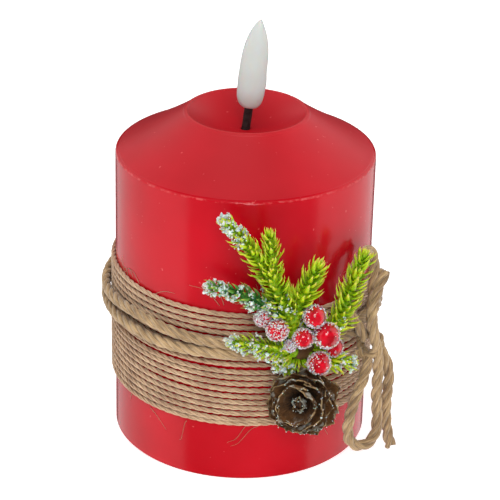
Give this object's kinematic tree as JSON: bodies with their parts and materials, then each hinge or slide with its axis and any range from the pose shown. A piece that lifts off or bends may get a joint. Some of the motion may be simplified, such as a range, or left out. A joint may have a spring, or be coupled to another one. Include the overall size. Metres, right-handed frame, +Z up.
{
  "type": "flameless LED candle",
  "caption": "Red wax pillar candle with a plastic LED flame, jute wrap and bow, a frosted fir, berry and cone pick, and a battery housing in its base.",
  "frame": {"origin": "centre of the wax foot ring, on the plane the candle stands on and on its axis", "axes": "+Z up the candle's axis to the flame; -Y is the decorated front; +X is to the right seen from the front"},
  "size_m": [0.0874, 0.0949, 0.1273],
  "materials": {
    "red_wax": "semi-gloss cast paraffin wax",
    "flame_plastic": "translucent milky moulding",
    "lamp_resin": "clear warm epoxy",
    "wick_black": "matt black sleeve",
    "wire_sheath": "thin PVC sheath",
    "housing_plastic": "ivory moulded plastic, fine texture",
    "door_plastic": "ivory moulded plastic, fine texture",
    "cell_wrap": "plain printed foil sleeve",
    "plated_steel": "nickel-plated spring steel",
    "board_laminate": "green solder mask",
    "chip_resin": "black moulded resin",
    "switch_shell": "tinned steel shell",
    "slider_plastic": "black moulded plastic",
    "screw_steel": "zinc-plated",
    "jute_thread": "fuzzy natural jute yarn",
    "jute_rope": "laid natural jute rope",
    "hot_glue": "translucent hot-melt glue",
    "fir_needles": "moulded needles, frosted tips",
    "berry_gloss": "glossy red with sugar frost",
    "cone_scales": "dark brown scales with frosted edges"
  },
  "bodies": {
    "candle": {"wax_body": "red_wax", "flame_tip": "flame_plastic", "led_lamp": "lamp_resin", "wick_stem": "wick_black", "led_wires": "wire_sheath", "flame_mast": "housing_plastic", "housing_cup": "housing_plastic", "base_plate": "housing_plastic", "battery_1": "cell_wrap", "battery_2": "cell_wrap", "contact_link": "plated_steel", "contact_negative": "plated_steel", "contact_positive": "plated_steel", "battery_leads": "wire_sheath", "circuit_board": "board_laminate", "board_parts": "chip_resin", "switch_body": "switch_shell", "housing_screws": "screw_steel", "jute_thread_band": "jute_thread", "rope_turn_lower": "jute_rope", "rope_turn_upper": "jute_rope", "bow_knot": "jute_rope", "bow_cord_upper": "jute_rope", "bow_cord_lower": "jute_rope", "glue_pad": "hot_glue", "pine_cone": "cone_scales", "fir_sprig_main": "fir_needles", "fir_sprig_side": "fir_needles", "fir_sprig_left": "fir_needles", "fir_sprig_lower_left": "fir_needles", "fir_sprig_upper_right": "fir_needles", "fir_sprig_right": "fir_needles", "fir_sprig_lower_right": "fir_needles", "berry_1": "berry_gloss", "berry_2": "berry_gloss", "berry_3": "berry_gloss", "berry_4": "berry_gloss", "berry_5": "berry_gloss", "berry_6": "berry_gloss", "berry_7": "berry_gloss", "berry_8": "berry_gloss"},
    "battery_door": {"battery_door": "door_plastic"},
    "switch_slider": {"switch_slider": "slider_plastic"}
  },
  "joints": [
    {"name": "battery_door_hinge", "type": "hinge", "parent": "candle", "child": "battery_door", "pos_m": [-0.0236, 0, 0.0028], "axis": [0, 1, 0], "range_deg": [0, 85]},
    {"name": "switch_slide", "type": "slide", "parent": "candle", "child": "switch_slider", "axis": [1, 0, 0], "range_m": [-0.002, 0.002]}
  ]
}
